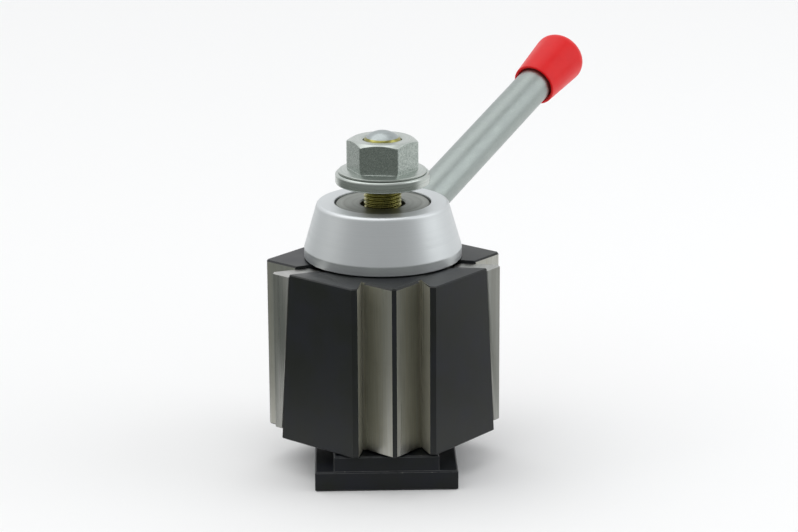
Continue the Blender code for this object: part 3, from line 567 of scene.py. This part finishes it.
def make_gib(side):
    """Sliding gib: ground sides, with their lines up and down, and paler milled ends."""
    node = f"gib_{side}"
    mesh = cad_copy(node, f"wedge_{side}")
    normals, _ = face_data(mesh)
    ends = abs(normals[:, 2]) > 0.9
    mesh.polygons.foreach_set("material_index", ends.astype(np.int32))
    finishes = [GROUND_GIB, CUT_END]
    piece = add_piece(f"wedge_{side}", mesh, node, node, finishes, sharp=CORNER)
    break_edges(piece, GIB_BREAK, finishes.index(CUT_END))


# ---------------------------------------------------------------- turned pieces

def make_hub():
    """Hub: closed profile of bore, neck, band, cone and rounded rim, bored for the handle."""
    slope = math.atan2(HUB_R - HUB_TOP_R, HUB_TOP - HUB_BASE - HUB_BAND)
    fillet = 1.6 * MM
    rim = bow((HUB_TOP_R - fillet, HUB_TOP - fillet), fillet, slope, math.pi / 2.0, steps=9)
    ring_seat = BLOCK_TOP - 5.2 * MM
    groove_top = BLOCK_TOP - 8.5 * MM
    groove_base = BLOCK_TOP - 10.2 * MM
    groove_r = HUB_NECK_R - 0.8 * MM
    seal_top = HUB_TOP - 2.5 * MM
    seal_base = HUB_TOP - 4.7 * MM
    seal_r = HUB_BORE_R + 1.8 * MM
    outline = [
        (HUB_BORE_R, HUB_NECK_BASE), (HUB_NECK_R, HUB_NECK_BASE), (HUB_NECK_R, groove_base),
        (groove_r, groove_base), (groove_r, groove_top), (HUB_NECK_R, groove_top),
        (HUB_NECK_R, ring_seat), (HUB_SHOULDER_R, ring_seat), (HUB_SHOULDER_R, HUB_BASE),
        (HUB_R, HUB_BASE), (HUB_R, HUB_BASE + HUB_BAND),
    ] + rim + [
        (HUB_BORE_R, HUB_TOP), (HUB_BORE_R, seal_top), (seal_r, seal_top),
        (seal_r, seal_base), (HUB_BORE_R, seal_base),
    ]
    body = put_mesh("cone_hub", round_about(eased(flat_profile(outline), RIM_EASE, True)), True)
    clear = 0.12 * MM
    socket_end = ROD_START + 12.0 * MM
    socket_outline = [
        (0.0, ROD_STUB_START - clear), (ROD_STUB_R + clear, ROD_STUB_START - clear),
        (ROD_STUB_R + clear, ROD_START - clear), (ROD_R + clear, ROD_START - clear),
        (ROD_R + clear, socket_end), (0.0, socket_end),
    ]
    socket = placed(round_about(flat_profile(socket_outline), columns=96), handle_matrix())
    body = cut(body, put_mesh("socket", socket, False))
    add_piece("cone_hub", body, "hub", "hub", [SATIN], sharp=34.0)


def make_rod():
    """Handle rod: stepped round bar along the handle's axis."""
    outline = [
        (0.0, ROD_STUB_START), (ROD_STUB_R, ROD_STUB_START), (ROD_STUB_R, ROD_START),
        (ROD_R, ROD_START), (ROD_R, ROD_END), (0.0, ROD_END),
    ]
    points = round_about(eased(flat_profile(outline), 0.5 * MM, False), HANDLE_COLUMNS)
    mesh = put_mesh("round_rod", placed(points, handle_matrix()), False)
    add_piece("round_rod", mesh, "hub", "handle_rod", [ROD])


def make_grip():
    """Grip: flared outside with a full round end, and a blind hole for the rod with a soft lip."""
    hole = ROD_R + 0.15 * MM
    hole_end = ROD_END + 0.3 * MM
    mouth = GRIP_START + 0.05 * MM
    lip = GRIP_START + 1.1 * MM
    slope = math.atan2(GRIP_MOUTH_R - GRIP_END_R, GRIP_END - GRIP_START)
    fillet, flat_from = 5.2 * MM, 1.46
    rounded = bow((GRIP_END_R - fillet, GRIP_END - fillet), fillet, slope, flat_from, steps=14)
    outline = [
        (0.0, hole_end), (hole, hole_end), (hole, lip), (hole + 0.6 * MM, mouth),
        (GRIP_MOUTH_R, mouth),
    ] + rounded + [(0.0, GRIP_END)]
    points = round_about(eased(flat_profile(outline), RIM_EASE, False), HANDLE_COLUMNS)
    mesh = put_mesh("red_grip", placed(points, handle_matrix()), False)
    add_piece("red_grip", mesh, "hub", "handle_grip", [VINYL], sharp=60.0)


def make_washer():
    """Thick washer with broken rims and a recess below for the clip."""
    recess = WASHER_BORE_R + 1.4 * MM
    seat = WASHER_BASE + CLIP_SEAT
    outline = [
        (WASHER_BORE_R, seat), (recess, seat), (recess, WASHER_BASE),
        (WASHER_R - 0.3 * MM, WASHER_BASE), (WASHER_R, WASHER_BASE + 0.4 * MM),
        (WASHER_R, WASHER_TOP - 0.5 * MM), (WASHER_R - 0.5 * MM, WASHER_TOP),
        (WASHER_BORE_R, WASHER_TOP),
    ]
    points = round_about(eased(flat_profile(outline), RIM_EASE, True))
    mesh = put_mesh("thick_washer", points, True)
    add_piece("thick_washer", mesh, "washer", "clamp_washer", [ZINC_TURNED])


def make_nut():
    """Clamp nut.

    At angle a the hexagon's side is at radius flats / 2 / cos(a - nearest face), blunted at
    the corners by a soft minimum with a limit: -s ln(e^(-side / s) + e^(-limit / s)). The
    crown is a cone, so each side ends on it in an arc: height = top - slope (radius - crown
    radius). Below, the sides run out on the flange's cone.
    """
    columns = 288
    angles = np.linspace(0.0, 2.0 * math.pi, columns, endpoint=False)
    sixth = math.pi / 3.0
    off = (angles - NUT_TURN + sixth / 2.0) % sixth - sixth / 2.0
    apothem = NUT_FLATS / 2.0
    side = apothem / np.cos(off)
    soft = 0.1 * MM
    limit = 1.1435 * apothem
    side = -soft * np.logaddexp(-side / soft, -limit / soft)
    crown_r = apothem - 0.6 * MM
    slope = 0.51
    cone_top = NUT_BASE + 1.1 * MM
    cone_base = NUT_BASE + 0.5 * MM
    seat = WASHER_TOP + 0.08 * MM
    cone_slope = (cone_top - cone_base) / (NUT_FLANGE_R - NUT_CONE_R)
    outer = np.maximum(side, NUT_CONE_R)
    foot = cone_top - (outer - NUT_CONE_R) * cone_slope
    bore = STUD_R + 0.12 * MM
    groove_top = WASHER_BASE + CLIP_SEAT
    groove_base = groove_top - 1.8 * MM
    groove_r = NUT_SPIGOT_R - 0.45 * MM
    spigot_base = WASHER_BASE + 0.2 * MM
    chamfer = 0.6 * MM
    rows = [
        (bore, spigot_base), (NUT_SPIGOT_R, spigot_base), (NUT_SPIGOT_R, groove_base),
        (groove_r, groove_base), (groove_r, groove_top), (NUT_SPIGOT_R, groove_top),
        (NUT_SPIGOT_R, seat), (NUT_FLANGE_R, seat), (NUT_FLANGE_R, cone_base),
        (outer + 0.02 * MM, foot), (side, foot), (side, NUT_TOP - slope * (side - crown_r)),
        (crown_r, NUT_TOP), (bore + chamfer, NUT_TOP), (bore, NUT_TOP - chamfer),
    ]
    profile = np.stack([
        np.stack([np.broadcast_to(value, columns) for value in row], axis=-1) for row in rows
    ])
    points = round_about(eased(profile, 0.22 * MM, True), columns)
    mesh = put_mesh("flanged_nut", points, True)
    normals, middles = face_data(mesh)
    radius = np.hypot(middles[:, 0], middles[:, 1])
    flats = (abs(normals[:, 2]) < 0.2) & (radius > apothem - 0.1 * MM)
    flats &= middles[:, 2] > cone_top
    mesh.polygons.foreach_set("material_index", flats.astype(np.int32))
    add_piece("flanged_nut", mesh, "nut", "clamp_nut", [ZINC_TURNED, ZINC_FLATS],
              sharp=24.0)


def make_stud():
    """Stud: plain below, threaded above, with a domed end.

    On the thread, radius = major radius - depth v(u), with u = height / pitch - angle / 2 pi
    and v a V of flattened crest and root, eased by the smoothstep v v (3 - 2 v). The depth
    fades in and out at the thread's ends.
    """
    columns, steps_per_turn = 96, 12
    flank, crest = 2.6, 0.15
    depth, run_out = 0.58 * THREAD_PITCH, 0.6 * THREAD_PITCH
    plain_top, foot_break = 40.0 * MM, 1.0 * MM
    major = STUD_R - 0.02 * MM
    angles = np.linspace(0.0, 2.0 * math.pi, columns, endpoint=False)
    turns = (THREAD_END - THREAD_START) / THREAD_PITCH
    heights = np.linspace(THREAD_START, THREAD_END, int(turns * steps_per_turn) + 1)
    phase = (heights[:, None] / THREAD_PITCH - angles[None, :] / (2.0 * math.pi)) % 1.0
    vee = np.clip(abs(phase - 0.5) * flank - crest, 0.0, 1.0)
    vee = vee * vee * (3.0 - 2.0 * vee)
    from_end = np.minimum(heights - THREAD_START, THREAD_END - heights)
    fade = np.clip(from_end / run_out, 0.0, 1.0)
    radius = major - depth * vee * fade[:, None]
    thread = np.stack([radius, np.broadcast_to(heights[:, None], radius.shape)], axis=-1)
    below = [
        (0.0, STUD_BASE), (major - foot_break, STUD_BASE), (major, STUD_BASE + foot_break),
        (major, plain_top),
    ]
    dome = bow((0.0, STUD_TOP - DOME_R), DOME_R, DOME_START, math.pi / 2.0, steps=12)
    dome[-1] = (0.0, STUD_TOP)
    below, dome = (
        np.broadcast_to(flat_profile(part), (len(part), columns, 2)) for part in (below, dome)
    )
    points = round_about(np.concatenate([below, thread, dome]), columns)
    mesh = put_mesh("threaded_stud", points, False)
    _, middles = face_data(mesh)
    silver = middles[:, 2] > SILVER_END
    mesh.polygons.foreach_set("material_index", silver.astype(np.int32))
    add_piece("threaded_stud", mesh, "base", "stud", [YELLOW, STUD_END],
              sharp=50.0)


def dress_cad_nodes():
    """Finishes of the CAD nodes that stay as they are."""
    choice = {"column": COLUMN_STEEL, "chip_seal": RUBBER}
    for node in ("lift_ring", "snap_ring", "washer_clip", "turn_stop_pin", "stud_lock_pin"):
        choice[node] = PIN_STEEL
    for number in (1, 2):
        choice[f"column_dowel_{number}"] = PIN_STEEL
        choice[f"ring_guide_pin_{number}"] = PIN_STEEL
    for number in (1, 2, 3, 4):
        choice[f"column_screw_{number}"] = BLACK_TNUT
    for node, finish in choice.items():
        for material_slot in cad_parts[node].material_slots:
            material_slot.link = "OBJECT"
            material_slot.material = finish


# ---------------------------------------------------------------- stage, light and camera

def stage_material(name, colour, roughness):
    """Plain matt material of the stage."""
    material = bpy.data.materials.new(name)
    material.use_nodes = True
    shader = material.node_tree.nodes["Principled BSDF"]
    shader.inputs["Base Color"].default_value = (*colour, 1.0)
    shader.inputs["Roughness"].default_value = roughness
    shader.inputs["Specular IOR Level"].default_value = 0.1
    return material


def make_floor():
    """Wide pale floor at the T-nut's underside."""
    size = 6.0
    mesh = bpy.data.meshes.new("floor")
    corners = [(-size, -size, 0.0), (size, -size, 0.0), (size, size, 0.0), (-size, size, 0.0)]
    mesh.from_pydata(corners, [], [(0, 1, 2, 3)])
    mesh.materials.append(stage_material("pale_floor", (0.93, 0.93, 0.925), 0.9))
    floor = bpy.data.objects.new("floor", mesh)
    bpy.context.scene.collection.objects.link(floor)


def soft_box(name, azimuth, elevation, watts, colour):
    """Area light that looks at the object from an azimuth (0 is from -Y, 90 from +X)."""
    distance, size, aim = 1.2, (0.8, 1.1), Vector((0.0, 0.0, 70.0 * MM))
    lamp = bpy.data.lights.new(name, "AREA")
    lamp.shape = "RECTANGLE"
    lamp.size, lamp.size_y = size
    lamp.energy = watts
    lamp.color = colour
    holder = bpy.data.objects.new(name, lamp)
    a, e = math.radians(azimuth), math.radians(elevation)
    out = Vector((math.sin(a) * math.cos(e), -math.cos(a) * math.cos(e), math.sin(e)))
    holder.location = aim + out * distance
    holder.rotation_euler = out.to_track_quat("Z", "Y").to_euler()
    bpy.context.scene.collection.objects.link(holder)


def make_reflection_card():
    """Painted reflection: a faintly glowing dark sheet that only mirrored light sees, so the
    polished fronts mirror a dark edge in front of the white sweep.

    A fan of a ring just above the floor, open to the rear: x = r cos a, y = r sin a. Only
    mirrored light sees it, and it fades in from its inner rim and towards its two ends.
    """
    front, half_turn, columns = math.radians(-68.0), math.radians(125.0), 60
    radius, rise = np.array([55.0 * MM, 2.2]), 0.6 * MM
    fade_from, fade_to, most = 54.0 * MM, 165.0 * MM, 0.93
    end_from, end_to = -0.6, -0.2
    turn = np.linspace(front - half_turn, front + half_turn, columns)
    points = np.stack([
        radius[:, None] * np.cos(turn), radius[:, None] * np.sin(turn),
        np.full((2, columns), rise),
    ], axis=-1)
    near, far = np.arange(2 * columns).reshape(2, columns)
    quads = np.stack([near[:-1], far[:-1], far[1:], near[1:]], axis=-1)
    mesh = bpy.data.meshes.new("painted_reflection_card")
    mesh.from_pydata(points.reshape(-1, 3).tolist(), [], quads.tolist())
    material = bpy.data.materials.new("painted_dark_reflection")
    material.use_nodes = True
    tree = material.node_tree
    tree.nodes.remove(tree.nodes["Principled BSDF"])
    place = add_node(tree, "ShaderNodeTexCoord").outputs["Object"]
    reach = add_node(tree, "ShaderNodeVectorMath", {0: place}, operation="LENGTH")
    fade = add_node(tree, "ShaderNodeMapRange", {
        "Value": reach.outputs["Value"], "From Min": fade_from, "From Max": fade_to,
        "To Min": 0.0, "To Max": most,
    }, interpolation_type="SMOOTHSTEP")
    way = add_node(tree, "ShaderNodeVectorMath", {0: place}, operation="NORMALIZE")
    facing = add_node(tree, "ShaderNodeVectorMath", {
        0: way.outputs[0], 1: (math.cos(front), math.sin(front), 0.0),
    }, operation="DOT_PRODUCT")
    ends = add_node(tree, "ShaderNodeMapRange", {
        "Value": facing.outputs["Value"], "From Min": end_from, "From Max": end_to,
    }, interpolation_type="SMOOTHSTEP")
    both = add_node(tree, "ShaderNodeMath", {0: fade.outputs[0], 1: ends.outputs[0]},
                    operation="MULTIPLY")
    clear = add_node(tree, "ShaderNodeBsdfTransparent")
    # The dim glow that paints the dark reflection in the polished faces
    dark = add_node(tree, "ShaderNodeEmission", {"Color": (0.15, 0.165, 0.15, 1.0)})
    mix = add_node(tree, "ShaderNodeMixShader", {
        0: both.outputs[0], 1: clear.outputs[0], 2: dark.outputs[0],
    })
    tree.links.new(mix.outputs[0], tree.nodes["Material Output"].inputs["Surface"])
    mesh.materials.append(material)
    card = bpy.data.objects.new("painted_reflection_card", mesh)
    bpy.context.scene.collection.objects.link(card)
    for kind in ("camera", "diffuse", "shadow", "transmission", "volume_scatter"):
        setattr(card, f"visible_{kind}", False)


def make_world(front, rear):
    """White sweep, by the world's own direction: brighter behind the object than in front."""
    rearward, front_end, rear_end = (-0.636, 0.772, 0.0), -0.3, 0.7
    world = bpy.data.worlds.new("studio")
    bpy.context.scene.world = world
    world.use_nodes = True
    tree = world.node_tree
    background = tree.nodes["Background"]
    background.inputs["Color"].default_value = (0.975, 0.985, 1.0, 1.0)
    direction = add_node(tree, "ShaderNodeTexCoord").outputs["Generated"]
    facing = add_node(tree, "ShaderNodeVectorMath", {0: direction, 1: rearward},
                      operation="DOT_PRODUCT")
    strength = add_node(tree, "ShaderNodeMapRange", {
        "Value": facing.outputs["Value"], "From Min": front_end, "From Max": rear_end,
        "To Min": front, "To Max": rear,
    })
    tree.links.new(strength.outputs[0], background.inputs["Strength"])


def high_light(strength, spread):
    """Broad soft light from nearly straight above, the same over the whole floor."""
    lean = (math.radians(8.0), math.radians(-12.0), 0.0)
    lamp = bpy.data.lights.new("high_light", "SUN")
    lamp.energy = strength
    lamp.angle = math.radians(spread)
    holder = bpy.data.objects.new("high_light", lamp)
    holder.rotation_euler = lean
    bpy.context.scene.collection.objects.link(holder)


def make_camera():
    """Camera in front of the shared corner, a little above the hub."""
    azimuth, elevation, roll = math.radians(39.54), math.radians(16.54), math.radians(-0.3)
    distance, aside, above = 1022.3 * MM, 6.01 * MM, BLOCK_BASE + 61.37 * MM
    back = Vector((math.sin(azimuth) * math.cos(elevation),
                   -math.cos(azimuth) * math.cos(elevation), math.sin(elevation)))
    right = Vector((math.cos(azimuth), math.sin(azimuth), 0.0))
    up = back.cross(right)
    aim = right * aside + Vector((0.0, 0.0, above))
    turned_right = right * math.cos(roll) + up * math.sin(roll)
    turned_up = up * math.cos(roll) - right * math.sin(roll)
    lens = bpy.data.cameras.new("camera")
    lens.sensor_width = 36.0
    lens.lens = 121.6105263
    lens.clip_start, lens.clip_end = 0.05, 50.0
    camera = bpy.data.objects.new("camera", lens)
    axes = Matrix((turned_right, turned_up, back)).transposed().to_4x4()
    camera.matrix_world = Matrix.Translation(aim + back * distance) @ axes
    bpy.context.scene.collection.objects.link(camera)
    bpy.context.scene.camera = camera


# ---------------------------------------------------------------- build

HANDLE_PATTERN = (0.0, -(math.pi / 2.0 - HANDLE_RISE), -HANDLE_TURN)

BLACK_SIDES = black_oxide("black_oxide_sides", 0.3, 0.34, streaks=(1.0, 1.0, 0.03))
BLACK_TOP = black_oxide("black_oxide_top", 0.29, 0.28, streaks=(1.0, 0.03, 1.0),
                        turn=math.radians(38.0))
BLACK_TNUT = black_oxide("black_oxide_tnut", 0.36, 0.22, streaks=(0.03, 1.0, 1.0),
                         turn=math.radians(49.0))
WORN = worn_edge()
GROUND = ground_steel("ground_seats", (0.58, 0.58, 0.535), (0.5, 0.48, 0.4))
GROUND_FLANK = ground_steel("ground_flanks", (0.46, 0.455, 0.38), (0.4, 0.38, 0.29),
                            metallic=0.6)
# Painted highlight on the ground edges: bare steel made paler than the seats and half diffuse, so
# it shines under any light
GROUND_EDGE_GLINT = ground_steel("ground_edge_glint", (0.86, 0.85, 0.76), (0.76, 0.73, 0.6),
                           metallic=0.5)
GROUND_GIB = ground_steel("ground_gibs", (0.42, 0.425, 0.4), (0.38, 0.37, 0.32))
CUT_END = lathe_turned("milled_gib_ends", (0.5, 0.5, 0.48), (0.4, 0.4, 0.38), feed=1500.0)
SATIN = lathe_turned("satin_hub", (0.665, 0.69, 0.695), (0.625, 0.65, 0.655),
                     rough=(0.4, 0.48), feed=3600.0, depth=0.004 * MM)
COLUMN_STEEL = lathe_turned("turned_column", (0.31, 0.325, 0.295), (0.19, 0.2, 0.18),
                            rough=(0.33, 0.5), feed=900.0, depth=0.04 * MM)
PIN_STEEL = lathe_turned("pin_steel", (0.5, 0.5, 0.49), (0.38, 0.38, 0.37))
ZINC_TURNED = lathe_turned("zinc_turned", (0.53, 0.565, 0.53), (0.4, 0.44, 0.41),
                           rough=(0.22, 0.34), feed=2000.0, depth=0.015 * MM)
ZINC_FLATS = zinc_plate("zinc_flats", (0.44, 0.485, 0.45), (0.22, 0.26, 0.24),
                        scale=1300.0, rough=(0.22, 0.34), depth=0.035 * MM, spots=0.75)
ROD = drawn_zinc("drawn_rod", HANDLE_PATTERN)
YELLOW = yellow_zinc()
STUD_END = zinc_plate("stud_end", (0.4, 0.44, 0.44), (0.3, 0.32, 0.31),
                      scale=900.0, rough=(0.3, 0.4), depth=0.01 * MM, spots=0.4)
VINYL = dipped_vinyl()
RUBBER = plain_rubber()

make_camera()
make_block()
make_tnut()
make_gib("left")
make_gib("right")
make_hub()
make_rod()
make_grip()
make_washer()
make_nut()
make_stud()
dress_cad_nodes()

make_floor()
make_reflection_card()
make_world(front=0.5, rear=0.95)
high_light(strength=0.95, spread=70.0)
soft_box("left_box", azimuth=-45.0, elevation=32.0, watts=1.2, colour=(1.0, 0.985, 0.96))
soft_box("right_box", azimuth=125.0, elevation=30.0, watts=3.0, colour=(0.97, 0.985, 1.0))
bpy.context.scene.view_settings.view_transform = "Standard"
